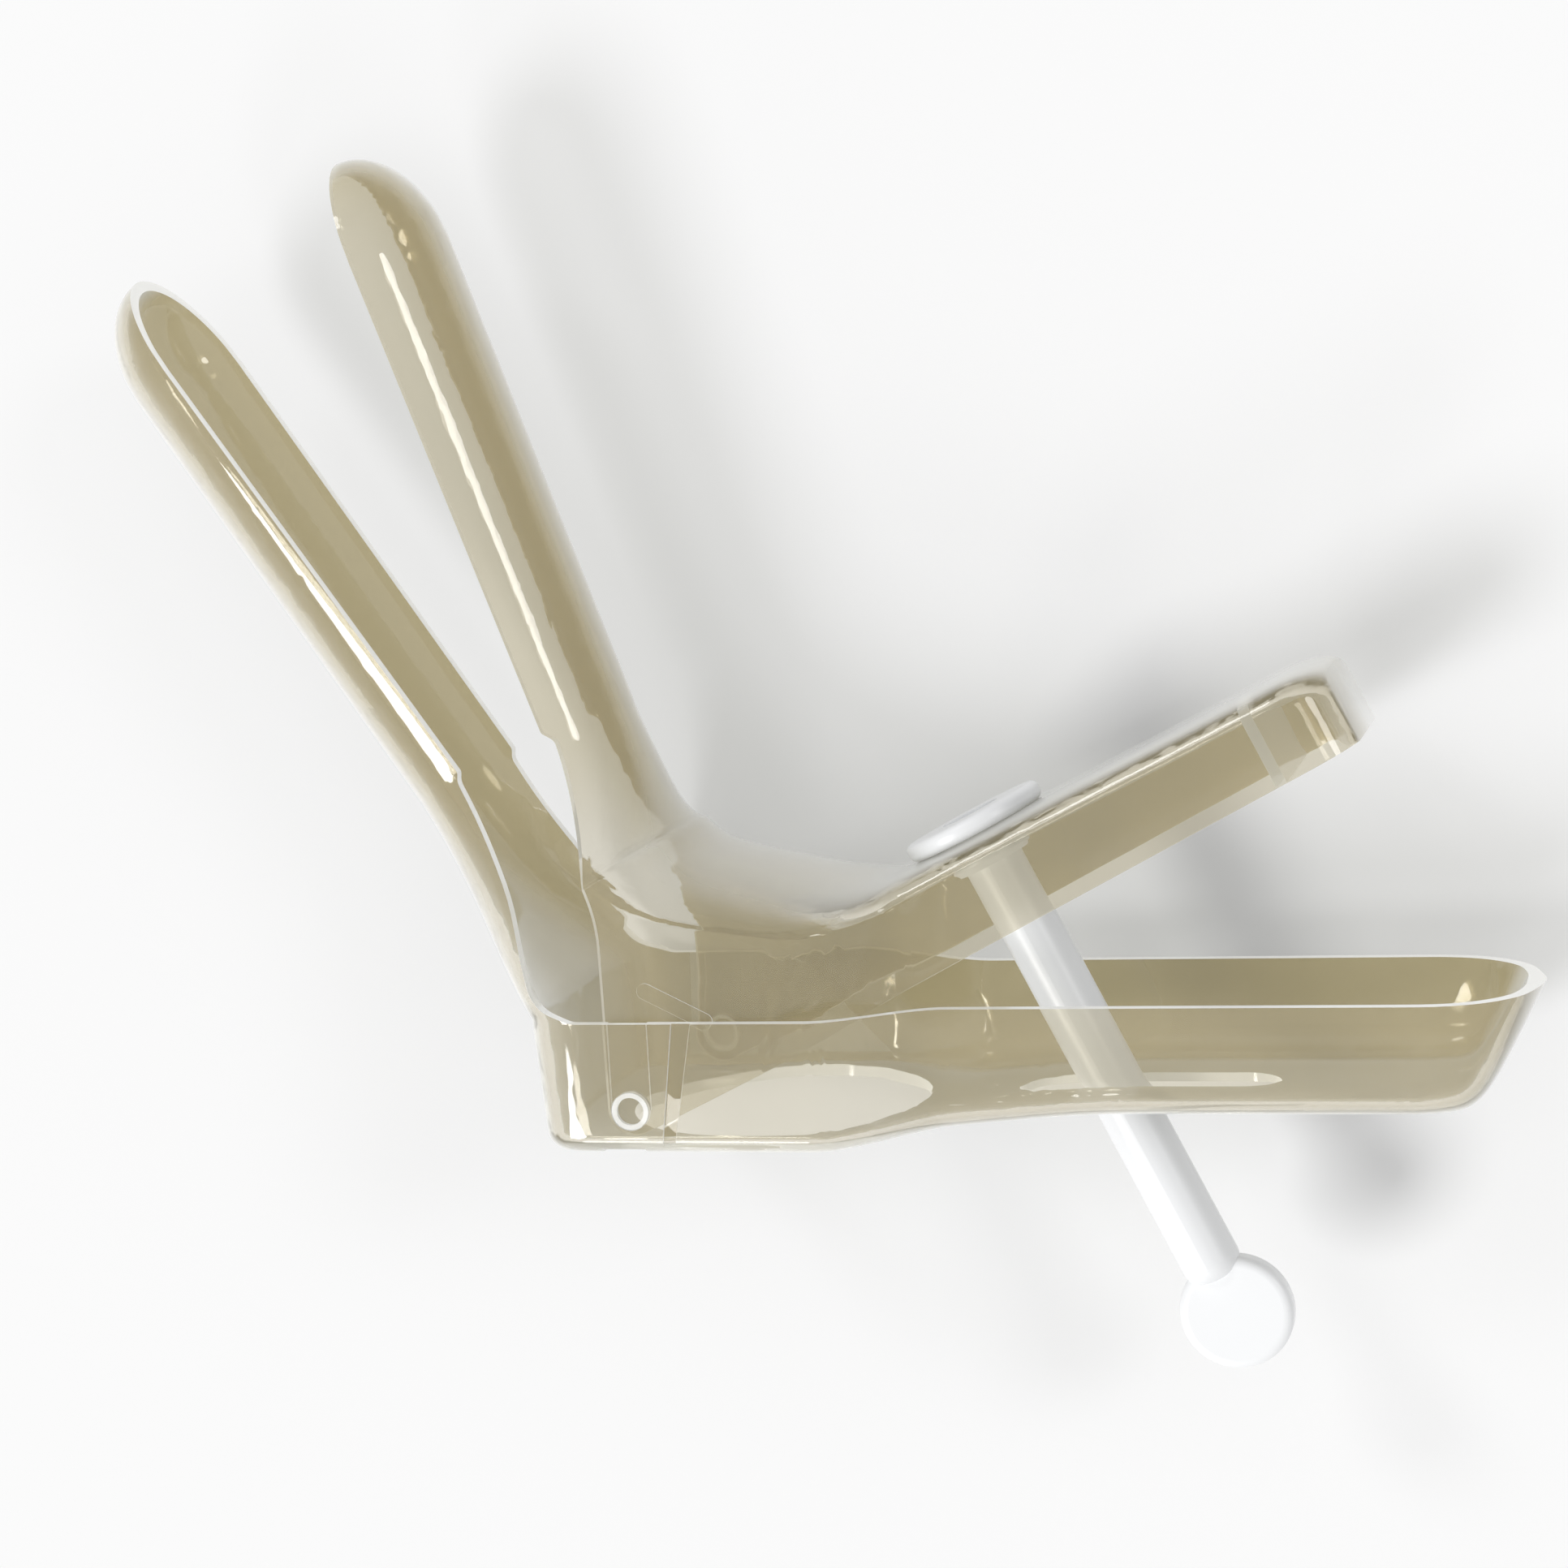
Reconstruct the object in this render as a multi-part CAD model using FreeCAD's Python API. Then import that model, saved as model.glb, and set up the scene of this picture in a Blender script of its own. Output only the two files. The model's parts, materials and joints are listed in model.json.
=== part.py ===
"""Disposable bivalve speculum: two hinged clear plastic valves, held apart by a screw and a flanged nut.

Everything is in millimetres. The speculum lies on its side, as it would on a tray. Z runs across its
width, X along the lower handle towards its end, and Y from the handles towards the blades.
While the pieces are drawn, the hinge is the origin and the middle of the width is Z = 0.
The upper valve, nut and screw are drawn with the upper handle level, then turned about the hinge.
"""
import FreeCAD, Part
import math
import os

V = FreeCAD.Vector
ACROSS = V(0, 0, 1)

# Walls and clearances
WALL = 1.5                      # moulded wall of both valves
CHEEK_GAP = 0.3                 # between an upper cheek and the lower cheek outside it
PIN_CLEARANCE = 0.08            # radial, hinge pin in its hole
THREAD_CLEARANCE = 0.06         # radial, screw in nut
NECK_CLEARANCE = 0.1            # radial, nut neck in the upper handle
SEAT_GAP = 0.05                 # nut flange above the web, and its snap bead below

# Lower valve
BASE_WIDTH = 48.0               # outside, across the two cheeks at the hinge
TROUGH_WIDTH = 32.0             # outside, along the lower handle
RIM_HEIGHT = 10.8               # rim of cheeks and trough above the hinge
BASE_FLOOR = -5.5               # underside of the base
TROUGH_FLOOR = -3.1             # underside of the lower handle
BASE_BACK = 14.8                # hinge to the back of the base at rim level
BASE_BACK_DRAFT = 1.6           # less than that at the floor
BASE_SHOULDER = -5.0            # where the flat cheeks start to round into the back
BASE_END = 22.0                 # where the base starts to narrow into the trough
NECK_END = 38.0                 # where the narrowing ends
FLOOR_RISE_END = 60.0           # where the floor is level again
BOW_START = 93.0                # where the rounded end of the trough starts
TROUGH_END = 108.4              # rim at the end of the trough
BOW_FLOOR_END = 101.0           # where the floor turns up into the end wall
BOW_ROUNDING = 4.0              # softness of that turn
BOW_FULLNESS = 2.4              # how blunt the end is, seen from above: 2 is an ellipse
BASE_FULLNESS = 0.88            # how square the back corners of the base are
BASE_CORNER = 2.5               # under the cheeks
TROUGH_CORNER = 5.0
LOWER_BLADE_ANGLE = 123.8       # from the handle
LOWER_RIM_OFFSET = 2.8          # from the hinge to the line of the blade's rim
LOWER_NOTCH = 46.6              # along the blade, from abreast of the hinge
LOWER_BLADE_WIDTH = 23.0        # at the notch
LOWER_TIP_WIDTH = 25.4
LOWER_BLADE_DEPTH = 9.7
LOWER_TIP_DEPTH = 9.0
LOWER_STEP = 0.8                # the rim steps back here
THROAT_SAG = 1.5                # the throat's back, below a straight line from blade to base
THROAT_RIM = V(-16.0, 24.4, 0)  # the rim's corners between the notch and the cheeks
THROAT_RIM_RADIUS = 30.0
CHEEK_RIM = V(-12.2, 12.6, 0)
CHEEK_RIM_RADIUS = 5.0

# Openings of the lower valve
PORT_START = -6.0               # viewing port in the floor of the base
PORT_END = 33.0
PORT_WIDTH = 40.0
SLOT_START = 43.7               # slot in the floor of the trough, for the screw
SLOT_END = 76.3
SLOT_WIDTH = 10.0

# Upper valve, with its handle level
UPPER_HANDLE_WIDTH = 28.0
UPPER_WEB = 9.6                 # top of the handle above the hinge
UPPER_HANDLE_END = 97.6
UPPER_RIM_AT_HINGE = -3.3
UPPER_RIM_AT_END = -1.1
UPPER_EAR = 3.2                 # radius of the lower corner of a cheek, about the pin
UPPER_BLADE_ANGLE = 83.4
UPPER_RIM_OFFSET = 3.3
UPPER_NOTCH = 46.5
UPPER_BLADE_WIDTH = 23.0
UPPER_TIP_WIDTH = 23.4
UPPER_BLADE_DEPTH = 8.4
UPPER_TIP_DEPTH = 8.8
UPPER_STEP = 1.2
CHEEK_EDGE = V(6.9, 22.0, 0)    # the cheek's front edge bends here
CHEEK_EDGE_RADIUS = 20.0
CHEEK_FRONT = -5.0              # the front edge, level with the hinge
ARCH_SIDES = 6.0                # how far the arch's sides reach down; flat plates take over below
SHOULDER_SIDES = (20.0, 18.0, 16.0, 14.0)   # and the same for each section of the shoulder
PLATE_TOP = V(6.6, 26.2, 0)     # corners of the flat plates, inside the arch
PLATE_IN_FLARE = V(11.5, 16.5, 0)
PLATE_IN_ARCH = V(20.5, 9.4, 0)
PLATE_BELOW_END = 9.0           # below the back of the arch's last section
PLATE_LENGTH = 28.0
PLATE_FRONT = -14.0             # past the cheek's front edge and lower rim, where they are cut
PLATE_LOW = -12.0
HANDLE_WALL_DEPTH = 13.0        # side walls of the handle are drawn this deep, then cut by the rim
HANDLE_BACK_DEPTH = 3.2
HANDLE_FULLNESS = 0.88
HANDLE_BOW = 7.0                # length of the handle's rounded end
HANDLE_BOW_DROP = 2.4
HANDLE_BOW_INSET = 5.0
END_RIB_AT = 87.3               # a cross rib closes off the end of the handle
END_RIB = 1.4

# Stations down the back of the upper valve. Each is its place, the way it faces, its share of the
# change in width, its depth, how full its back is and how soft its corners are. The flare widens from
# the blade to the cheeks, the arch keeps their width and bends, and the shoulder narrows to the handle.
FLARE = [
    (V(16.3, 38.9, 0), -6.6, 0.10, 8.5, 0.56, 0.55),
    (V(15.6, 33.4, 0), -6.6, 0.38, 8.4, 0.60, 0.52),
    (V(15.1, 29.0, 0), -3.6, 0.74, 7.9, 0.66, 0.46),
    (V(15.9, 26.8, 0), 3.0, 1.0, 7.3, 0.70, 0.42),
]
ARCH = [
    (V(16.9, 24.4, 0), 20.0, 1.0, 6.6, 0.72, 0.40),
    (V(19.4, 21.6, 0), 36.0, 1.0, 6.1, 0.74, 0.40),
    (V(22.6, 18.8, 0), 44.0, 1.0, 5.5, 0.76, 0.40),
    (V(27.0, 15.1, 0), 46.0, 1.0, 4.8, 0.78, 0.40),
    (V(31.0, 12.2, 0), 47.0, 1.0, 4.2, 0.80, 0.42),
]
SHOULDER = [
    (V(34.0, 10.6, 0), 53.0, 0.73, 3.9, 0.82, 0.50),
    (V(37.0, 9.8, 0), 61.0, 0.29, 3.7, 0.84, 0.65),
    (V(40.2, UPPER_WEB, 0), 70.0, 0.0, 3.6, 0.86, 0.86),
]

# Both blades
BLADE_STRAIGHT = 109.0          # along the blade, where its tip starts to round
TIP_LENGTH = 13.4
HANDLES_APART = 26.0            # angle between the handles as the speculum lies

# Details of the cheeks
GROOVE_TOP = (5.8, 8.2)         # slanted groove down the outside of a lower cheek: its edges at the rim
GROOVE_FOOT = (3.7, 5.2)        # and at the floor
GROOVE_DEPTH = 0.4
RECESS = (-4.2, 1.4)            # shallow recess under the floor's edge, below the pin
RECESS_DEPTH = 0.6
RECESS_WIDTH = 5.0
BAR_FROM = V(2.3, 14.5, 0)      # raised bar on the outside of an upper cheek, as the speculum lies
BAR_TO = V(9.6, 10.8, 0)
BAR_WIDTH = 2.0
BAR_HEIGHT = 0.2

# Hinge, nut and screw
PIN_RADIUS = 2.3
PIN_DISH = 1.7
PIN_DISH_DEPTH = 0.6
GUIDE_WIDTH = 5.0               # lead-in down the inside of a lower cheek
GUIDE_DEPTH = 0.5
SCREW_AT = 49.1                 # hinge to screw, along the upper handle
SCREW_RADIUS = 3.75
SCREW_TOP_RECESS = 0.6          # below the top of the nut
FLANGE_RADIUS = 9.15
FLANGE_THICKNESS = 2.3
NECK_RADIUS = 4.9
BEAD_RADIUS = 5.25
BEAD_HEIGHT = 2.7
PADDLE_RADIUS = 7.15
PADDLE_THICKNESS = 3.6
PADDLE_EDGE = 1.2
PADDLE_DROP = 58.2              # hinge level to the paddle's centre, along the screw
ROD_INTO_PADDLE = 2.4

ELLIPSE = 0.5523                # Bezier handle of a quarter ellipse
OVERCUT = 1.0                   # how far an inside is drawn past the open edge of its outside
SHALLOW = 3.0                   # how far a blade's sides are drawn past its rim
FAR = 140.0                     # well outside the speculum


def unit(angle):
    return V(math.cos(math.radians(angle)), math.sin(math.radians(angle)), 0)


def ease(t):
    t = min(max(t, 0.0), 1.0)
    return t * t * (3 - 2 * t)


def mix(a, b, t):
    return a + (b - a) * t


def bowl(back, out, half_width, depth, fullness, reach, inset=0.0, corner=None):
    """A U across the width: straight sides that round into a back. `back` is the middle of the back,
    `out` points out of it, and the sides reach past their shoulder. An inset draws the inside.
    A corner below the fullness makes the turn at each shoulder tighter."""
    turn = fullness if corner is None else corner
    shoulder = back - out * depth
    h = half_width - inset
    d = depth - inset
    open_end = -reach - (OVERCUT if inset else 0.0)

    def at(along, z):
        return shoulder + out * along + ACROSS * z

    def curve(*poles):
        b = Part.BezierCurve()
        b.setPoles(list(poles))
        return b.toShape()

    corners = [at(open_end, h), at(0, h), at(d, 0), at(0, -h), at(open_end, -h)]
    edges = [
        Part.makeLine(corners[0], corners[1]),
        curve(corners[1], at(turn * d, h), at(d, fullness * h), corners[2]),
        curve(corners[2], at(d, -fullness * h), at(turn * d, -h), corners[3]),
        Part.makeLine(corners[3], corners[4]),
        Part.makeLine(corners[4], corners[0]),
    ]
    return Part.Wire(edges)


def tray(x, half_width, corner, floor, top, inset=0.0):
    """A U across the width with a flat floor and round corners, at one place along the trough."""
    h = half_width - inset
    r = corner - inset
    low = floor + inset
    s = r * math.sqrt(0.5)

    def at(y, z):
        return V(x, y, z)

    edges = [
        Part.makeLine(at(top, h), at(low + r, h)),
        Part.Arc(at(low + r, h), at(low + r - s, h - r + s), at(low, h - r)).toShape(),
        Part.makeLine(at(low, h - r), at(low, r - h)),
        Part.Arc(at(low, r - h), at(low + r - s, r - h - s), at(low + r, -h)).toShape(),
        Part.makeLine(at(low + r, -h), at(top, -h)),
        Part.makeLine(at(top, -h), at(top, h)),
    ]
    return Part.Wire(edges)


def loft(sections, ruled=False):
    return Part.makeLoft(sections, True, ruled)


def rounded_face(corners):
    """A face in the XY plane from (point, radius) corners, with straight runs and tangent arcs."""
    edges = []
    marks = []
    count = len(corners)
    for i, (p, r) in enumerate(corners):
        before = (corners[i - 1][0] - p).normalize()
        after = (corners[(i + 1) % count][0] - p).normalize()
        if r == 0:
            marks.append((p, None, p))
            continue
        half = before.getAngle(after) / 2
        cut = r / math.tan(half)
        centre = p + (before + after).normalize() * (r / math.sin(half))
        middle = centre + (p - centre).normalize() * r
        marks.append((p + before * cut, middle, p + after * cut))
    for i, (start, middle, end) in enumerate(marks):
        if middle is not None:
            edges.append(Part.Arc(start, middle, end).toShape())
        edges.append(Part.makeLine(end, marks[(i + 1) % count][0]))
    return Part.Face(Part.Wire(edges))


def through(face, half_width=40.0):
    """The face pushed through the whole width."""
    body = face.extrude(ACROSS * (2 * half_width))
    body.translate(ACROSS * -half_width)
    return body


def blade(angle, side, rim_offset, start, widths, depths, inset):
    """A straight blade with a rounded, closed tip. `side` is +1 where the back is to the right."""
    along = unit(angle)
    out = unit(angle - 90 * side)

    def section(s, shrink=1.0):
        t = (s - start) / (BLADE_STRAIGHT - start)
        half_width = mix(widths[0], widths[1], min(t, 1)) / 2 - inset
        depth = mix(depths[0], depths[1], min(t, 1)) - inset
        rim = along * s + out * (rim_offset * side)
        back = rim + out * (depth * shrink)
        return bowl(back, out, half_width * shrink, depth * shrink, ELLIPSE, SHALLOW)

    straight = loft([section(start), section(BLADE_STRAIGHT)], ruled=True)
    length = TIP_LENGTH - inset
    turns = (0, 12, 24, 36, 48, 59, 69, 78, 85, 89)
    tip = loft([section(BLADE_STRAIGHT + length * math.sin(math.radians(a)), math.cos(math.radians(a)))
                for a in turns])
    return straight.fuse(tip)


def lower_blade_point(along, aside):
    return unit(LOWER_BLADE_ANGLE) * along + unit(LOWER_BLADE_ANGLE - 90) * aside


def lower_form(inset):
    """The lower valve as a solid block, before it is hollowed and its rim is cut."""
    upright = blade(LOWER_BLADE_ANGLE, -1, LOWER_RIM_OFFSET, LOWER_NOTCH,
                    (LOWER_BLADE_WIDTH, LOWER_TIP_WIDTH), (LOWER_BLADE_DEPTH, LOWER_TIP_DEPTH), inset)

    half_base = BASE_WIDTH / 2
    notch_back = lower_blade_point(LOWER_NOTCH, LOWER_RIM_OFFSET - LOWER_BLADE_DEPTH)
    base_depth = BASE_BACK + BASE_SHOULDER
    back_way = V(-1, 0, 0)

    def base_section(height, reach):
        draft = BASE_BACK_DRAFT * (RIM_HEIGHT - height) / (RIM_HEIGHT - BASE_FLOOR)
        return bowl(V(draft - BASE_BACK, height, 0), back_way, half_base, base_depth - draft,
                    BASE_FULLNESS, reach, inset)

    # from the blade to the base, the section widens, squares up and turns level
    def throat_section(t):
        sag = V(0, THROAT_SAG * math.sin(math.pi * t), 0)
        place = mix(notch_back, V(-BASE_BACK, RIM_HEIGHT, 0), t) - sag
        return bowl(place, unit(mix(LOWER_BLADE_ANGLE + 90, 180, t)),
                    mix(LOWER_BLADE_WIDTH / 2, half_base, ease(t)), mix(LOWER_BLADE_DEPTH, base_depth, t),
                    mix(ELLIPSE, BASE_FULLNESS, t * t), mix(SHALLOW, 8.0, t), inset)

    throat = [throat_section(i / 4) for i in range(5)]

    floor = BASE_FLOOR + inset
    reach = BASE_END - BASE_SHOULDER - (OVERCUT if inset else 0.0)
    base = loft([base_section(RIM_HEIGHT, reach), base_section(floor, reach)], ruled=True)
    under = [e for e in base.Edges
             if e.BoundBox.YMax < floor + 0.01 and e.BoundBox.XMin < BASE_END - 0.5]
    base = base.makeFillet(BASE_CORNER - inset, under)

    top = RIM_HEIGHT + 12.0

    def neck(x):
        t = ease((x - BASE_END) / (NECK_END - BASE_END))
        rise = ease((x - BASE_END) / (FLOOR_RISE_END - BASE_END))
        return tray(x, mix(BASE_WIDTH, TROUGH_WIDTH, t) / 2, mix(BASE_CORNER, TROUGH_CORNER, t),
                    mix(BASE_FLOOR, TROUGH_FLOOR, rise), top, inset)

    narrowing = loft([neck(mix(BASE_END, NECK_END, i / 5)) for i in range(6)])
    rising = loft([neck(mix(NECK_END, FLOOR_RISE_END, i / 4)) for i in range(5)])
    level_end = BOW_START - 4.0
    level = loft([neck(FLOOR_RISE_END), neck(level_end)], ruled=True)

    # the end narrows like a boat's bow while its floor turns up into the end wall
    end = TROUGH_END - inset
    floor_end = BOW_FLOOR_END - inset / 2
    slope = (RIM_HEIGHT - TROUGH_FLOOR) / (end - floor_end)

    def lift(x):
        past = x - floor_end
        return slope * (past + math.sqrt(past * past + BOW_ROUNDING)) / 2

    def bow(t):
        x = mix(BOW_START, end, t)
        half_width = (TROUGH_WIDTH / 2 - inset) * math.sqrt(1 - (0.99 * t) ** BOW_FULLNESS)
        corner = min(TROUGH_CORNER - inset, half_width * 0.8)
        return tray(x, half_width, corner, TROUGH_FLOOR + inset + lift(x) - lift(BOW_START), top)

    bow_end = loft([neck(level_end), neck(BOW_START - 2.5), neck(BOW_START - 1.0)]
                   + [bow(math.sin(math.radians(a))) for a in (7, 16, 26, 36, 46, 56, 65, 73, 80, 86, 90)])
    return upright.fuse([loft(throat), base, narrowing, rising, level, bow_end])


def lower_side():
    """The lower valve's outline from the side: only its rim matters, the rest is left wide."""
    return rounded_face([
        (lower_blade_point(FAR, LOWER_RIM_OFFSET), 0),
        (lower_blade_point(LOWER_NOTCH, LOWER_RIM_OFFSET), 0.8),
        (lower_blade_point(LOWER_NOTCH - 1.0, LOWER_RIM_OFFSET - LOWER_STEP), 2.0),
        (THROAT_RIM, THROAT_RIM_RADIUS),
        (CHEEK_RIM, CHEEK_RIM_RADIUS),
        (V(-7.0, RIM_HEIGHT, 0), 3.0),
        (V(TROUGH_END + 8, RIM_HEIGHT, 0), 0),
        (V(TROUGH_END + 8, BASE_FLOOR - 8, 0), 0),
        (V(-FAR, BASE_FLOOR - 8, 0), 0),
        (V(-FAR, FAR, 0), 0),
    ])


def lower_valve():
    shell = lower_form(0.0).cut(lower_form(WALL)).common(through(lower_side()))

    # viewing port: an oval through the floor of the base
    middle = (PORT_START + PORT_END) / 2
    port = Part.Ellipse(V(0, 0, 0), PORT_WIDTH / 2, (PORT_END - PORT_START) / 2 - 0.5)
    oval = Part.Face(Part.Wire(port.toShape()))
    oval.rotate(V(0, 0, 0), V(1, 0, 0), -90)
    oval.rotate(V(0, 0, 0), V(0, 1, 0), 90)
    oval.translate(V(middle, BASE_FLOOR - 3, 0))
    shell = shell.cut(oval.extrude(V(0, 6.5, 0)))

    # slot for the screw, with round ends
    half_slot = SLOT_WIDTH / 2
    slot = Part.makeBox(SLOT_END - SLOT_START - SLOT_WIDTH, 8, SLOT_WIDTH,
                        V(SLOT_START + half_slot, TROUGH_FLOOR - 3, -half_slot))
    for x in (SLOT_START + half_slot, SLOT_END - half_slot):
        slot = slot.fuse(Part.makeCylinder(half_slot, 8, V(x, TROUGH_FLOOR - 3, 0), V(0, 1, 0)))
    shell = shell.cut(slot)

    # outside each cheek, a slanted groove, and a recess under the edge of the floor
    groove = Part.Face(Part.makePolygon([V(GROOVE_FOOT[0], BASE_FLOOR, 0), V(GROOVE_FOOT[1], BASE_FLOOR, 0),
                                         V(GROOVE_TOP[1], RIM_HEIGHT, 0), V(GROOVE_TOP[0], RIM_HEIGHT, 0),
                                         V(GROOVE_FOOT[0], BASE_FLOOR, 0)]))
    for side in (1, -1):
        band = groove.extrude(ACROSS * (side * BASE_WIDTH))
        band.translate(ACROSS * (side * (BASE_WIDTH / 2 - GROOVE_DEPTH)))
        edge = Part.makeBox(RECESS[1] - RECESS[0], RECESS_DEPTH, RECESS_WIDTH,
                            V(RECESS[0], BASE_FLOOR, side * (BASE_WIDTH - RECESS_WIDTH) / 2 - RECESS_WIDTH / 2))
        shell = shell.cut(band).cut(edge)

    # hinge holes, each with a lead-in for the pin down the inside of the cheek
    hole = Part.makeCylinder(PIN_RADIUS + PIN_CLEARANCE, BASE_WIDTH + 2, V(0, 0, -BASE_WIDTH / 2 - 1), ACROSS)
    inside = BASE_WIDTH / 2 - WALL
    guides = Part.makeBox(GUIDE_WIDTH, RIM_HEIGHT + 1, 2 * (inside + GUIDE_DEPTH),
                          V(-GUIDE_WIDTH / 2, 0, -inside - GUIDE_DEPTH))
    return shell.cut(hole).cut(guides).removeSplitter()


def upper_blade_point(along, aside):
    return unit(UPPER_BLADE_ANGLE) * along + unit(UPPER_BLADE_ANGLE - 90) * aside


def upper_form(inset):
    """The upper valve as a solid block, before it is hollowed and its rim is cut."""
    cheek = BASE_WIDTH / 2 - WALL - CHEEK_GAP
    handle = UPPER_HANDLE_WIDTH / 2
    blade_half = UPPER_BLADE_WIDTH / 2
    blade_back = UPPER_RIM_OFFSET + UPPER_BLADE_DEPTH
    upright = blade(UPPER_BLADE_ANGLE, 1, UPPER_RIM_OFFSET, UPPER_NOTCH,
                    (UPPER_BLADE_WIDTH, UPPER_TIP_WIDTH), (UPPER_BLADE_DEPTH, UPPER_TIP_DEPTH), inset)

    def at(station, narrow, reach):
        place, facing, share, depth, fullness, corner = station
        return bowl(place, unit(facing), mix(narrow, cheek, share), depth, fullness, reach, inset, corner)

    notch = (upper_blade_point(UPPER_NOTCH, blade_back), UPPER_BLADE_ANGLE - 90, 0.0, UPPER_BLADE_DEPTH,
             ELLIPSE, ELLIPSE)
    flare = [at(notch, blade_half, SHALLOW)] + [at(s, blade_half, ARCH_SIDES) for s in FLARE]
    arch = [at(s, handle, ARCH_SIDES) for s in FLARE[-1:] + ARCH]
    shoulder = [at(s, handle, reach) for s, reach in zip(ARCH[-1:] + SHOULDER, SHOULDER_SIDES)]

    # the handle runs level, then its end rounds off and closes
    def level(x, sink=0.0):
        return bowl(V(x, UPPER_WEB - HANDLE_BOW_DROP * sink, 0), unit(90), handle - HANDLE_BOW_INSET * sink,
                    HANDLE_BACK_DEPTH, HANDLE_FULLNESS, HANDLE_WALL_DEPTH, inset)

    bow_start = UPPER_HANDLE_END - HANDLE_BOW
    handle_run = [shoulder[-1], level(SCREW_AT), level(bow_start)]
    end = [level(bow_start + (HANDLE_BOW - inset) * math.sin(math.radians(a)), 1 - math.cos(math.radians(a)))
           for a in (0, 18, 36, 52, 66, 78)]
    return upright.fuse([loft(flare), loft(arch), loft(shoulder), loft(handle_run, ruled=True), loft(end)])


def upper_side():
    """The upper valve's outline from the side: blade rim, cheek's front edge, ear and lower rim."""
    return rounded_face([
        (upper_blade_point(FAR, UPPER_RIM_OFFSET), 0),
        (upper_blade_point(UPPER_NOTCH, UPPER_RIM_OFFSET), 0.8),
        (upper_blade_point(UPPER_NOTCH - 1.4, UPPER_RIM_OFFSET + UPPER_STEP), 1.5),
        (CHEEK_EDGE, CHEEK_EDGE_RADIUS),
        (V(CHEEK_FRONT, UPPER_RIM_AT_HINGE, 0), UPPER_EAR),
        (V(20.0, UPPER_RIM_AT_HINGE, 0), 60.0),
        (V(UPPER_HANDLE_END + 8, UPPER_RIM_AT_END, 0), 0),
        (V(UPPER_HANDLE_END + 8, FAR, 0), 0),
    ])


def cheek_plates():
    """The flat cheeks under the arch, from their front edge to the section where they narrow."""
    end, facing = ARCH[-1][:2]
    down = unit(facing) * -1
    face = rounded_face([
        (PLATE_TOP, 0),
        (V(PLATE_FRONT, PLATE_TOP.y, 0), 0),
        (V(PLATE_FRONT, PLATE_LOW, 0), 0),
        (end + down * PLATE_LENGTH, 0),
        (end + down * PLATE_BELOW_END, 0),
        (PLATE_IN_ARCH, 0),
        (PLATE_IN_FLARE, 0),
    ])
    cheek = BASE_WIDTH / 2 - WALL - CHEEK_GAP
    plate = face.extrude(ACROSS * WALL)
    near = plate.translated(ACROSS * (cheek - WALL))
    far = plate.translated(ACROSS * -cheek)
    return [near, far]


def upper_valve():
    inside = upper_form(WALL)
    shell = upper_form(0.0).cut(inside).fuse(cheek_plates())
    # a cross rib closes off the end of the handle
    rib = Part.makeBox(END_RIB, 30, UPPER_HANDLE_WIDTH + 4,
                       V(END_RIB_AT - END_RIB / 2, -15, -UPPER_HANDLE_WIDTH / 2 - 2)).common(inside)
    shell = shell.fuse(rib).common(through(upper_side()))
    hole = Part.makeCylinder(NECK_RADIUS + NECK_CLEARANCE, 20, V(SCREW_AT, UPPER_WEB - 10, 0), V(0, 1, 0))
    shell = shell.cut(hole)
    cheek = BASE_WIDTH / 2 - WALL - CHEEK_GAP
    # a slim bar with round ends stands proud of each cheek
    bar_run = BAR_TO - BAR_FROM
    for side in (1, -1):
        low = side * (cheek - WALL / 2)
        height = WALL / 2 + BAR_HEIGHT
        bar = Part.makeBox(bar_run.Length, BAR_WIDTH, height, V(0, -BAR_WIDTH / 2, min(0, side * height)))
        for along in (0, bar_run.Length):
            bar = bar.fuse(Part.makeCylinder(BAR_WIDTH / 2, height, V(along, 0, 0), ACROSS * side))
        bar.rotate(V(0, 0, 0), ACROSS, math.degrees(math.atan2(bar_run.y, bar_run.x)))
        bar.translate(BAR_FROM + ACROSS * low)
        bar.rotate(V(0, 0, 0), ACROSS, -HANDLES_APART)
        shell = shell.fuse(bar)
    # hinge pins, with a shallow dish in each end
    length = WALL + CHEEK_GAP - 0.05
    for side in (1, -1):
        pin = Part.makeCylinder(PIN_RADIUS, length + WALL / 2, V(0, 0, side * (cheek - WALL / 2)), ACROSS * side)
        dish = Part.makeCylinder(PIN_DISH, PIN_DISH_DEPTH, V(0, 0, side * (cheek + length - PIN_DISH_DEPTH)),
                                 ACROSS * side)
        shell = shell.fuse(pin.cut(dish))
    return shell.removeSplitter()


def turned(points, axis_x):
    """A solid of revolution about the screw's axis, from (radius, height) corners."""
    corners = [V(axis_x + r, y, 0) for r, y in points]
    face = Part.Face(Part.makePolygon(corners + [corners[0]]))
    return face.revolve(V(axis_x, 0, 0), V(0, 1, 0), 360)


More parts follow.
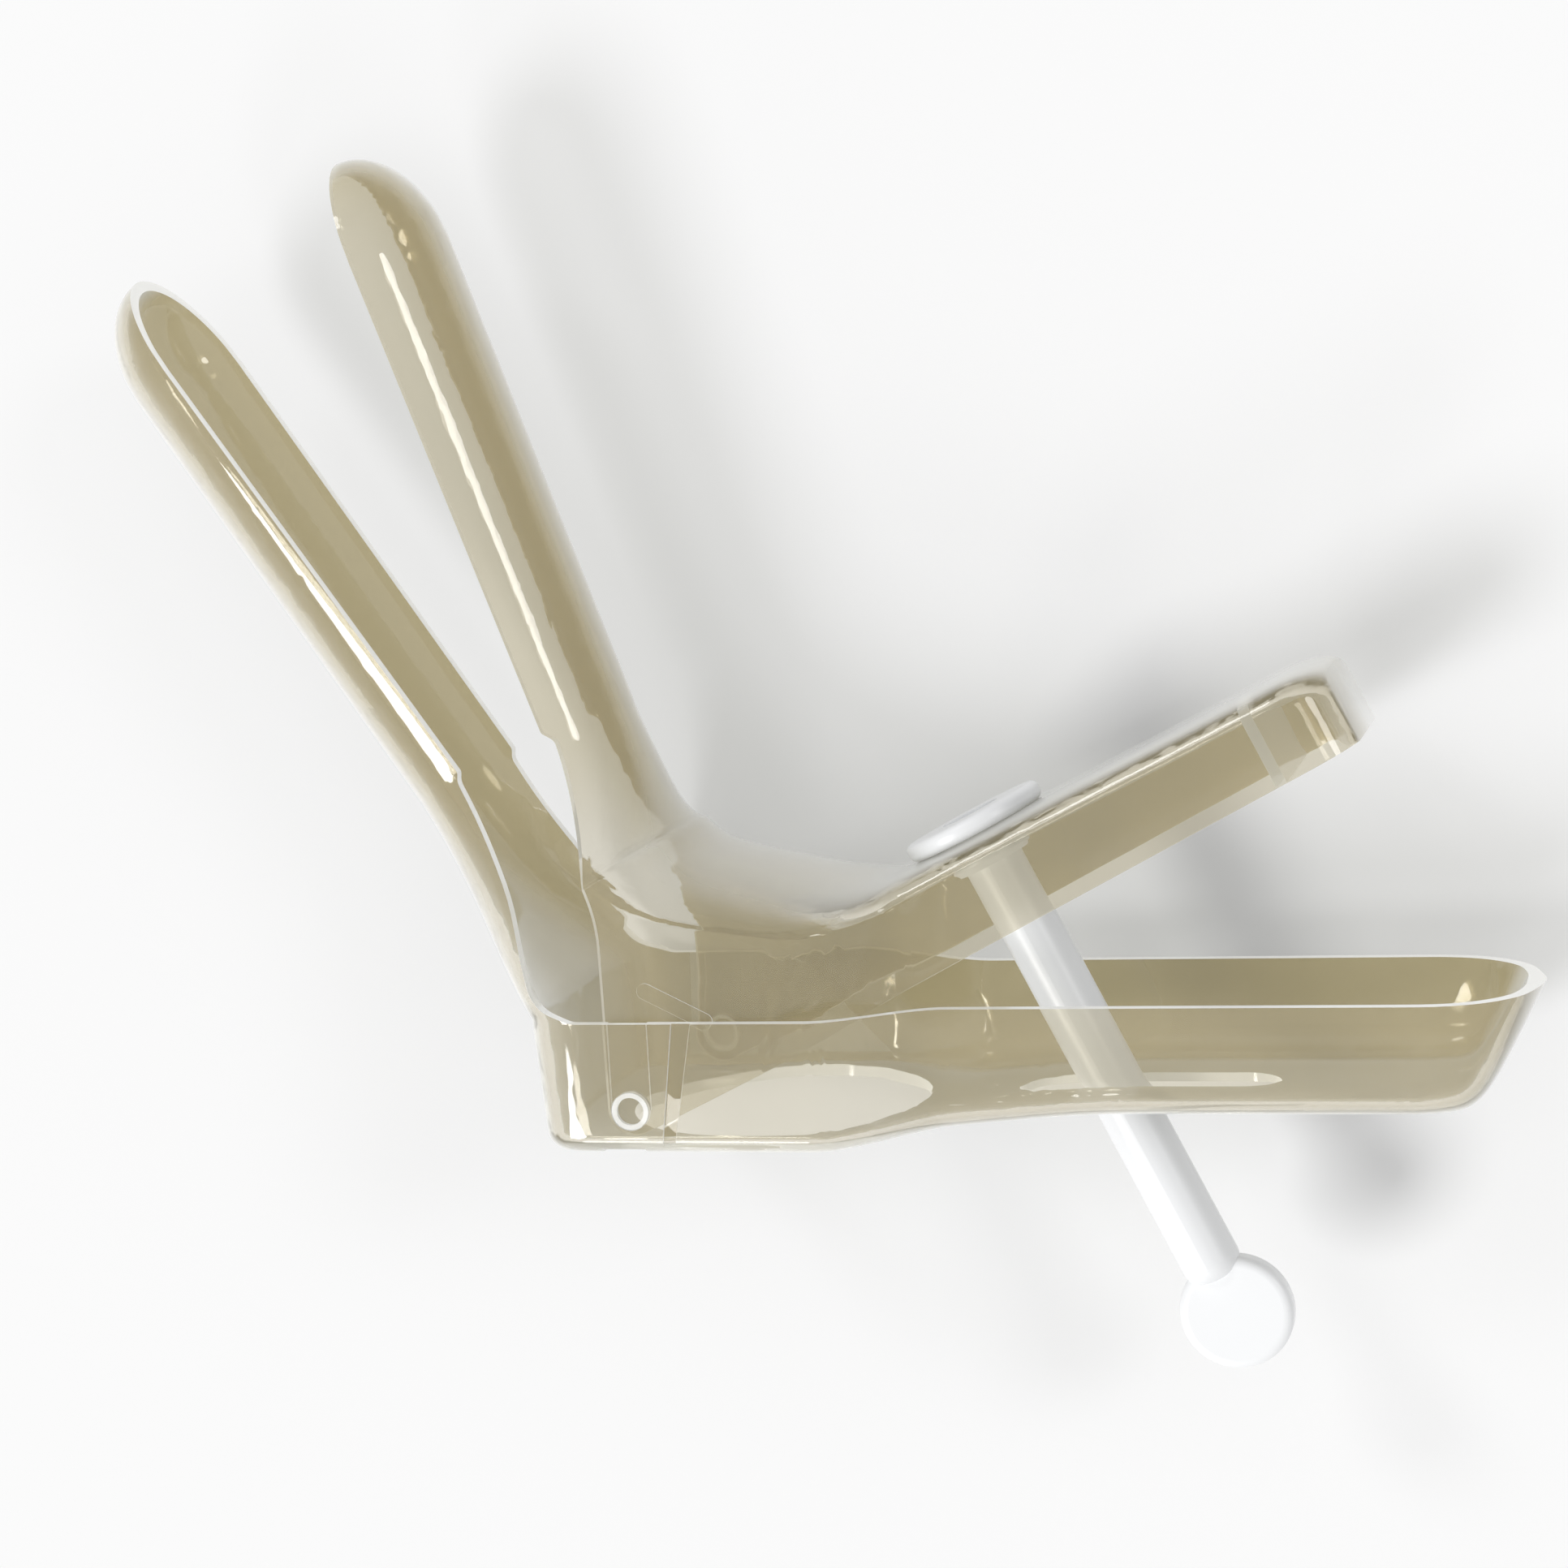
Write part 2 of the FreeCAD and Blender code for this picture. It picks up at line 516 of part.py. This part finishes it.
def nut():
    """Flanged nut: its neck passes the web and a rounded bead snaps in below."""
    seat = UPPER_WEB + SEAT_GAP
    bead_top = UPPER_WEB - WALL - SEAT_GAP
    bore = SCREW_RADIUS + THREAD_CLEARANCE
    body = turned([(bore, bead_top - BEAD_HEIGHT), (NECK_RADIUS - 0.2, bead_top - BEAD_HEIGHT),
                   (BEAD_RADIUS, bead_top - BEAD_HEIGHT * 0.65), (BEAD_RADIUS, bead_top - 0.5),
                   (NECK_RADIUS, bead_top), (NECK_RADIUS, seat), (FLANGE_RADIUS, seat),
                   (FLANGE_RADIUS, seat + FLANGE_THICKNESS), (bore, seat + FLANGE_THICKNESS)], SCREW_AT)
    rims = [e for e in body.Edges if isinstance(e.Curve, Part.Circle)
            and abs(e.Curve.Radius - FLANGE_RADIUS) < 0.01]
    return body.makeFillet(FLANGE_THICKNESS * 0.4, rims)


def screw():
    """Screw and finger paddle in one piece. The rod's rounded end runs on into the paddle."""
    top = UPPER_WEB + SEAT_GAP + FLANGE_THICKNESS - SCREW_TOP_RECESS
    rod_end = -PADDLE_DROP + PADDLE_RADIUS - ROD_INTO_PADDLE
    rod = Part.makeCylinder(SCREW_RADIUS, top - rod_end, V(SCREW_AT, rod_end, 0), V(0, 1, 0))
    ends = [e for e in rod.Edges if isinstance(e.Curve, Part.Circle)]
    low = [e for e in ends if e.BoundBox.YMax < rod_end + 0.01]
    high = [e for e in ends if e.BoundBox.YMin > top - 0.01]
    rod = rod.makeFillet(SCREW_RADIUS * 0.6, low)
    rod = rod.makeChamfer(0.5, [e for e in rod.Edges if isinstance(e.Curve, Part.Circle)
                                and e.BoundBox.YMin > top - 0.01])
    paddle = Part.makeCylinder(PADDLE_RADIUS, PADDLE_THICKNESS,
                               V(SCREW_AT, -PADDLE_DROP, -PADDLE_THICKNESS / 2), ACROSS)
    paddle = paddle.makeFillet(PADDLE_EDGE, [e for e in paddle.Edges if isinstance(e.Curve, Part.Circle)])
    return rod.fuse(paddle)


def main():
    pieces = {"lower_valve": lower_valve(), "upper_valve": upper_valve(), "nut": nut(), "screw": screw()}
    for name in ("upper_valve", "nut", "screw"):
        pieces[name].rotate(V(0, 0, 0), ACROSS, HANDLES_APART)
    whole = Part.makeCompound(list(pieces.values())).BoundBox
    middle = V((whole.XMin + whole.XMax) / 2, (whole.YMin + whole.YMax) / 2, whole.ZMin)
    os.makedirs("parts", exist_ok=True)
    for name, shape in pieces.items():
        shape.translate(middle * -1)
        solid = shape.Solids[0] if len(shape.Solids) == 1 else shape
        print(name, "solids", len(shape.Solids), "valid", shape.isValid(), "volume", round(shape.Volume, 1))
        solid.exportStep("parts/" + name + ".step")
    print("hinge at", middle * -1, "size", whole.XLength, whole.YLength, whole.ZLength)


main()
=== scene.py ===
# %% [markdown]
# # A bivalve speculum in clear plastic
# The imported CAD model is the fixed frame. It gives the four pieces of the instrument in metres: two clear
# valves, a white nut and a white screw. Everything below puts a surface, light and a camera on them.

# %% Load the frame
import json
import math

import bmesh
import bpy
from mathutils import Matrix, Vector


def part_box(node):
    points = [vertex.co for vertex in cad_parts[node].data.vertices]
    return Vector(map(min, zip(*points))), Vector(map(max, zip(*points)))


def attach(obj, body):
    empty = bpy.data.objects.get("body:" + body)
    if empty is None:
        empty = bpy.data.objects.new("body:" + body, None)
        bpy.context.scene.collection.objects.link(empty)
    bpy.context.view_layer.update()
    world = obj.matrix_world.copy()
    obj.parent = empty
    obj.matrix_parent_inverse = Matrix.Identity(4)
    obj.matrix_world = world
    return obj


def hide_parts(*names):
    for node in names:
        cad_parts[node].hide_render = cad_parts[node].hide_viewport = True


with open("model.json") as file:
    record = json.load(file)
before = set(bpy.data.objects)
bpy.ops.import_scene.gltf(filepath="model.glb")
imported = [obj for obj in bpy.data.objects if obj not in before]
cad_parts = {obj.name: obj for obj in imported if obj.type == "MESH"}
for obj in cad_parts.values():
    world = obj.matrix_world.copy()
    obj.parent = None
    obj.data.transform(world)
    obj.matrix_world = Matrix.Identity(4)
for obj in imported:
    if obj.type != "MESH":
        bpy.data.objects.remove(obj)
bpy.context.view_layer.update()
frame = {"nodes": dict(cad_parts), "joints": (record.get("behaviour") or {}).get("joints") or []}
scene = bpy.context.scene
MM = 0.001
for name, node in frame["nodes"].items():
    low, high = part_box(name)
    size = [round((b - a) / MM, 1) for a, b in zip(low, high)]
    print(name, "faces", len(node.data.polygons), "size mm", size)

# %% [markdown]
# The hinge is the natural place to measure from, because the upper valve turns about it. The joint in the
# frame says where it is.

# %% Where the hinge is
hinge_joint = next(j for j in frame["joints"] if j["name"] == "valve_hinge")
HINGE = Vector(hinge_joint["pos_m"])
print("hinge", [round(v / MM, 2) for v in HINGE])


# %% [markdown]
# Colours are written as sRGB hex values, as a paint chart gives them. Shaders work in linear light, so one
# function turns each value to linear. A second small function adds a node with its settings and links.

# %% Colour and node helpers
def linear(hex_colour):
    channels = [int(hex_colour[i:i + 2], 16) / 255 for i in (1, 3, 5)]
    return [c / 12.92 if c <= 0.04045 else ((c + 0.055) / 1.055) ** 2.4 for c in channels] + [1.0]


def add_node(tree, kind, values=None, links=None, **settings):
    node = tree.nodes.new(kind)
    for name, value in settings.items():
        setattr(node, name, value)
    for name, value in (values or {}).items():
        node.inputs[name].default_value = value
    for name, socket in (links or {}).items():
        tree.links.new(socket, node.inputs[name])
    return node


print("mid grey in linear light", round(linear("#808080")[0], 3))

# %% [markdown]
# The photograph is taken with a moderate tele lens from above, a little to the right of the hinge. A camera
# could be placed by eye, but clear edges give it away when it is a degree off. So it stands where the edges
# of the two handles and blades line up with it, and its right and up directions are written out.

# %% Camera
CAMERA_PLACE = HINGE + Vector((130.34, 99.59, 439.36)) * MM
CAMERA_RIGHT = Vector((0.96785, -0.05630, -0.24515))
CAMERA_UP = Vector((0.02015, 0.98885, -0.14757))
CAMERA_BACK = CAMERA_RIGHT.cross(CAMERA_UP).normalized()
LENS_MM = 84.0
SENSOR_MM = 36.0

camera_data = bpy.data.cameras.new("camera")
camera_data.lens = LENS_MM
camera_data.sensor_width = SENSOR_MM
camera_data.clip_start = 10 * MM
camera = bpy.data.objects.new("camera", camera_data)
turn = Matrix((CAMERA_RIGHT, CAMERA_BACK.cross(CAMERA_RIGHT).normalized(), CAMERA_BACK)).transposed()
camera.matrix_world = Matrix.Translation(CAMERA_PLACE) @ turn.to_4x4()
scene.collection.objects.link(camera)
scene.camera = camera
print("camera is", round(CAMERA_PLACE.z / MM), "mm above the table, with a lens of", LENS_MM, "mm")

# %% [markdown]
# The speculum lies on a sheet of matt white paper, far wider than the view. It could be a curved backdrop,
# but the camera looks steeply down and sees no horizon, so a flat plane does. Paper scatters light evenly,
# so a plain diffuse shader is all it takes, and the soft shadow falls on it by itself.

# %% Floor
FLOOR_SIZE = 6.0
PAPER_WHITE = linear("#f8f8f8")

bpy.ops.object.select_all(action="DESELECT")
bpy.ops.mesh.primitive_plane_add(size=FLOOR_SIZE, location=(0, 0, 0))
floor = bpy.context.object
floor.name = "floor"
paper = bpy.data.materials.new("matt white paper")
paper.use_nodes = True
tree = paper.node_tree
tree.nodes.clear()
sheet = add_node(tree, "ShaderNodeBsdfDiffuse", {"Color": PAPER_WHITE})
add_node(tree, "ShaderNodeOutputMaterial", links={"Surface": sheet.outputs["BSDF"]})
floor.data.materials.append(paper)
print("floor", FLOOR_SIZE, "m square")

# %% [markdown]
# A sky that is white on all sides lights a white studio. Clear plastic shows whatever is around it, so the
# camera, reflections and refractions see the sky at full white, while it lights things only half as much.
# The Light Path node tells these rays apart.

# %% Sky
scene.view_settings.view_transform = "Standard"
SKY_LIGHT = 0.5
WHITE = (1, 1, 1, 1)

world = bpy.data.worlds.new("white studio")
scene.world = world
world.use_nodes = True
tree = world.node_tree
tree.nodes.clear()
path = add_node(tree, "ShaderNodeLightPath")
seen = add_node(tree, "ShaderNodeMath", operation="MAXIMUM",
                links={0: path.outputs["Is Camera Ray"], 1: path.outputs["Is Glossy Ray"]})
seen = add_node(tree, "ShaderNodeMath", operation="MAXIMUM",
                links={0: seen.outputs[0], 1: path.outputs["Is Transmission Ray"]})
strength = add_node(tree, "ShaderNodeMapRange", {"To Min": SKY_LIGHT, "To Max": 1.0},
                    {"Value": seen.outputs[0]})
sky = add_node(tree, "ShaderNodeBackground", {"Color": WHITE}, {"Strength": strength.outputs["Result"]})
add_node(tree, "ShaderNodeOutputWorld", links={"Surface": sky.outputs["Background"]})
print("sky lights at", SKY_LIGHT, "and shows at 1")

# %% [markdown]
# One wide soft key from the lower left throws the shadow up and to the right. Three small soft lamps stand
# lower, and each draws one long highlight along an edge. Sun lamps are used because their light is the same
# everywhere on the object, so no corner of it falls dark.

# %% Lamps
LAMPS = [  # name, compass angle and height in degrees, strength, apparent size in degrees
    ("key", 216, 50, 1.45, 20),
    ("lamp for the handles' lower edges", 250, 37, 0.30, 14),
    ("lamp for the blades' right edges", 25, 40, 0.30, 14),
    ("lamp for the handles' upper edges", 132, 38, 0.30, 14),
]

for name, compass, height, strength, size in LAMPS:
    data = bpy.data.lights.new(name, "SUN")
    data.energy = strength
    data.angle = math.radians(size)
    lamp = bpy.data.objects.new(name, data)
    across = math.cos(math.radians(height))
    towards = Vector((across * math.cos(math.radians(compass)), across * math.sin(math.radians(compass)),
                      math.sin(math.radians(height))))
    # a sun lamp shines down its own Z axis, so that axis points at its place in the sky
    lamp.rotation_euler = towards.to_track_quat("Z", "Y").to_euler()
    scene.collection.objects.link(lamp)
    print(name, "strength", strength)


# %% [markdown]
# Crystal polystyrene is the usual plastic of a disposable speculum: clear, stiff and shiny. Here it is
# painted tan, as a tan surface seen through it would make it, and the tan is painted stronger on the side
# near the table than on the lit upper side. It could be one glass shader, but four walls behind each other
# would then turn dark. So light passes with a light tan tint, and a thin tan veil lies over it, which moves
# towards the same tan with each wall. Both grow weaker towards the upper side, which is a slow step on the
# height above the table.

# %% Painted tan of the clear plastic
SHADED = 22 * MM
LIT = 42 * MM
WAVE = 9 * MM
WAVE_DEPTH = 0.2 * MM
POLYSTYRENE_IOR = 1.58


def painted_tint_shader(tree, place, tints, veil_colour, veils, roughness, painted_glow):
    """The first tint and veil paint the tan on the side near the table, the second paint it on the lit side.
    """
    height = add_node(tree, "ShaderNodeSeparateXYZ", links={"Vector": place.outputs["Object"]})
    # painted shade: the tan is full near the table and fades towards the lit upper side
    lit = add_node(tree, "ShaderNodeMapRange", {"From Min": SHADED, "From Max": LIT},
                   {"Value": height.outputs["Z"]}, interpolation_type="SMOOTHSTEP")
    # inputs 6 and 7 of a Mix node are its two colours, and input 0 says how far it goes to the second
    tint = add_node(tree, "ShaderNodeMix", {6: linear(tints[0]), 7: linear(tints[1])},
                    {0: lit.outputs["Result"]}, data_type="RGBA")
    veil = add_node(tree, "ShaderNodeMapRange", {"To Min": veils[0], "To Max": veils[1]},
                    {"Value": lit.outputs["Result"]})
    # the mould leaves a slow waviness, so that reflections bend a little as they run along a wall
    waves = add_node(tree, "ShaderNodeTexNoise", {"Scale": 1 / WAVE, "Detail": 1.0, "Roughness": 0.4},
                     {"Vector": place.outputs["Object"]})
    wavy = add_node(tree, "ShaderNodeBump", {"Strength": 0.2, "Distance": WAVE_DEPTH},
                    {"Height": waves.outputs["Fac"]})
    body = add_node(tree, "ShaderNodeBsdfPrincipled",
                    {"Roughness": roughness, "IOR": POLYSTYRENE_IOR, "Transmission Weight": 1.0},
                    {"Base Color": tint.outputs[2], "Normal": wavy.outputs["Normal"]})
    # a painted veil: tan on the walls, and white with a weak emission on the rims and edges, as painted glow
    # and highlight
    painted_veil = add_node(tree, "ShaderNodeBsdfPrincipled",
                    {"Base Color": linear(veil_colour), "Roughness": roughness, "IOR": POLYSTYRENE_IOR,
                     "Emission Color": WHITE, "Emission Strength": painted_glow},
                    {"Normal": wavy.outputs["Normal"]})
    return add_node(tree, "ShaderNodeMixShader",
                    links={0: veil.outputs["Result"], 1: body.outputs[0], 2: painted_veil.outputs[0]})


print("tan is full up to", round(SHADED / MM), "mm and faint from", round(LIT / MM), "mm")


# %% [markdown]
# Where a clear wall is seen edge-on, many inner reflections pile up and it turns whitish. Here that
# whiteness
# is a painted reflection: Layer Weight says how edge-on a wall is, and mixes in a pale shader. Light on its
# way to the table would be counted twice, once as a shadow and once as a bounce, so for those rays the
# plastic is simply transparent with a little loss.

# %% Clear plastic
EDGE_ON_FROM = 0.3
EDGE_ON_TO = 0.85
# the white painted on walls where they are seen edge-on
PAINTED_EDGE_WHITE = linear("#fbfbf8")
LOSS = linear("#e6e6e4")


def clear_plastic(name, tints, veil_colour, veils, painted_edge_sheen, roughness, painted_glow):
    """The edge-on value is how white a wall is painted where it is seen edge-on, a painted reflection, and
    the glow value is a weak emission on the wall, painted light that stands for light coming out of its
    inside.
    """
    mat = bpy.data.materials.new(name)
    mat.use_nodes = True
    tree = mat.node_tree
    tree.nodes.clear()
    place = add_node(tree, "ShaderNodeTexCoord")
    tan = painted_tint_shader(tree, place, tints, veil_colour, veils, roughness, painted_glow)
    # painted reflection: a pale, faintly glowing shader mixed in where a wall is seen edge-on
    pale = add_node(tree, "ShaderNodeBsdfPrincipled",
                    {"Base Color": PAINTED_EDGE_WHITE, "Roughness": roughness, "IOR": POLYSTYRENE_IOR,
                     "Emission Color": WHITE, "Emission Strength": painted_glow})
    facing = add_node(tree, "ShaderNodeLayerWeight", {"Blend": 0.35})
    edge_on = add_node(tree, "ShaderNodeMapRange",
                       {"From Min": EDGE_ON_FROM, "From Max": EDGE_ON_TO, "To Max": painted_edge_sheen},
                       {"Value": facing.outputs["Facing"]})
    surface = add_node(tree, "ShaderNodeMixShader",
                       links={0: edge_on.outputs["Result"], 1: tan.outputs[0], 2: pale.outputs[0]})
    passing = add_node(tree, "ShaderNodeBsdfTransparent", {"Color": LOSS})
    path = add_node(tree, "ShaderNodeLightPath")
    for ray in ("Is Shadow Ray", "Is Diffuse Ray"):
        surface = add_node(tree, "ShaderNodeMixShader",
                           links={0: path.outputs[ray], 1: surface.outputs[0], 2: passing.outputs[0]})
    add_node(tree, "ShaderNodeOutputMaterial", links={"Surface": surface.outputs[0]})
    print(name, "has", len(tree.nodes), "nodes")
    return mat


# %% [markdown]
# Three materials come from the one mould. The walls are polished and painted tan. The rims are the end faces
# of the walls: light that has run along inside a wall comes out there, so they are whiter and glow a little,
# and that whiteness and glow are painted, with a pale veil and a weak emission. The rounded edges catch the
# most of it and look like drawn white lines, a painted highlight of white veil and emission. Tracing all
# that light inside 1.5 mm walls would take very many samples, so each material gets its whiteness from its
# own values instead.

# %% Three clear polystyrene materials: painted tan, painted rim glow, painted edge highlight
polystyrene = clear_plastic("clear polystyrene with painted tan, injection moulded", ("#ccc09c", "#f2eee2"), "#bfb38b",
                            (0.28, 0.10), 0.9, 0.03, 0.0)
# painted glow: the rims are painted white with a weak emission
rim = clear_plastic("clear polystyrene, rim with painted glow", ("#fdfdfa", "#fdfdfa"), "#f8f8f4",
                    (0.6, 0.6), 0.9, 0.06, 0.2)
# painted highlight: the rounded edges are painted white with a weak emission
painted_edge_highlight = clear_plastic("clear polystyrene, edge with painted highlight", ("#ffffff", "#ffffff"), "#ffffff",
                       (0.95, 0.95), 1.0, 0.05, 0.25)

# %% [markdown]
# A valve is one thin moulded shell, and its CAD mesh already has the right shape. It could be dressed as it
# is, but that mesh is loose triangles, which can't be bevelled. So a copy is taken and its doubles are
# merged, and the copy stands for the CAD node from then on.

# %% Copy a CAD node
DOUBLES = 0.01 * MM


def copy_of(node, name):
    piece = bpy.data.objects.new(name, node.data.copy())
    scene.collection.objects.link(piece)
    bpy.ops.object.select_all(action="DESELECT")
    bpy.context.view_layer.objects.active = piece
    piece.select_set(True)
    bpy.ops.mesh.customdata_custom_splitnormals_clear()
    bpy.ops.object.mode_set(mode="EDIT")
    bpy.ops.mesh.select_all(action="SELECT")
    bpy.ops.mesh.remove_doubles(threshold=DOUBLES)
    bpy.ops.object.mode_set(mode="OBJECT")
    print(name, "points", len(node.data.vertices), "merged to", len(piece.data.vertices))
    return piece


# %% [markdown]
# The rims need their own material, painted white with a weak glow. They could be picked by hand, face by
# face, but there are about thirty.
# Here they are found by their width instead: faces that join smoothly make one strip, and a strip that is
# hardly wider than the wall is thick is a rim. A long strip's width is twice its area over its border.

# %% Find the rims
SHARP = math.radians(38)
RIM_WIDTH = 1.65 * MM
RIM_SLOT = 1


def islands(bm, sharp):
    """Faces joined across edges that aren't sharp."""
    left = set(bm.faces)
    while left:
        group = [left.pop()]
        for face in group:
            for edge in face.edges:
                if edge in sharp:
                    continue
                for other in edge.link_faces:
                    if other in left:
                        left.remove(other)
                        group.append(other)
        yield group


def mark_rims(mesh):
    bm = bmesh.new()
    bm.from_mesh(mesh)
    sharp = {e for e in bm.edges if len(e.link_faces) != 2 or e.calc_face_angle() > SHARP}
    rims = 0
    for group in islands(bm, sharp):
        area = sum(f.calc_area() for f in group)
        border = sum(e.calc_length() for f in group for e in f.edges if e in sharp)
        if border and 2 * area / border < RIM_WIDTH:
            rims += 1
            for f in group:
                f.material_index = RIM_SLOT
    for f in bm.faces:
        f.smooth = True
    bm.to_mesh(mesh)
    bm.free()
    print("rims", rims)


# %% [markdown]
# No moulded edge is a knife edge, because the mould's own corners are a little round. A bevel modifier
# rounds them all at one radius, and its new faces take the third material, which draws the white lines as a
# painted highlight. Hardened normals keep the flat walls flat up to the bevel.

# %% Round the edges
EDGE_ROUND = 0.4 * MM
CORNER = math.radians(40)
BRIGHT_SLOT = 2


def round_edges(piece):
    bpy.ops.object.shade_smooth_by_angle(angle=SHARP)
    bevel = piece.modifiers.new("edge", "BEVEL")
    bevel.width = EDGE_ROUND
    bevel.segments = 2
    bevel.limit_method = "ANGLE"
    bevel.angle_limit = CORNER
    # the bevel faces take the material with the painted white highlight
    bevel.material = BRIGHT_SLOT
    bevel.harden_normals = True
    bpy.ops.object.modifier_apply(modifier=bevel.name)
    print("edges rounded at", round(EDGE_ROUND / MM, 2), "mm")


# %% [markdown]
# Both valves are made the same way. Each copy rides on the body of its own valve, so the upper one turns
# with the hinge, and it replaces that valve's CAD node. The order of the three materials is the order of
# the slots that the rims and the rounded edges ask for.

# %% Make the two valves
for name in ("lower_valve", "upper_valve"):
    piece = copy_of(frame["nodes"][name], name + "_clear")
    piece.data.materials.clear()
    for mat in (polystyrene, rim, painted_edge_highlight):
        piece.data.materials.append(mat)
    mark_rims(piece.data)
    round_edges(piece)
    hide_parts(name)
    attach(piece, name)
    print(name, "faces", len(piece.data.polygons))

# %% [markdown]
# The nut and the screw are moulded in white polypropylene: opaque, smooth and softly shiny. Their CAD
# meshes have the right shape and stay, and only their material slots change. A plain white would look like
# chalk, so the gloss varies a little and the surface has the slow unevenness of a thick moulding.

# %% White plastic
SHRINK_MARK = 5 * MM
SHRINK_DEPTH = 0.1 * MM
POLYPROPYLENE_IOR = 1.49

white = bpy.data.materials.new("white polypropylene, moulded")
white.use_nodes = True
tree = white.node_tree
tree.nodes.clear()
place = add_node(tree, "ShaderNodeTexCoord")
shrink = add_node(tree, "ShaderNodeTexNoise", {"Scale": 1 / SHRINK_MARK, "Detail": 2.0},
                  {"Vector": place.outputs["Object"]})
gloss = add_node(tree, "ShaderNodeMapRange", {"To Min": 0.26, "To Max": 0.38},
                 {"Value": shrink.outputs["Fac"]})
uneven = add_node(tree, "ShaderNodeBump", {"Strength": 0.15, "Distance": SHRINK_DEPTH},
                  {"Height": shrink.outputs["Fac"]})
plastic = add_node(tree, "ShaderNodeBsdfPrincipled",
                   {"Base Color": linear("#f6f7f8"), "IOR": POLYPROPYLENE_IOR},
                   {"Roughness": gloss.outputs["Result"], "Normal": uneven.outputs["Normal"]})
add_node(tree, "ShaderNodeOutputMaterial", links={"Surface": plastic.outputs[0]})

for name in ("nut", "screw"):
    for material_slot in frame["nodes"][name].material_slots:
        material_slot.material = white
    print(name, "is", white.name)
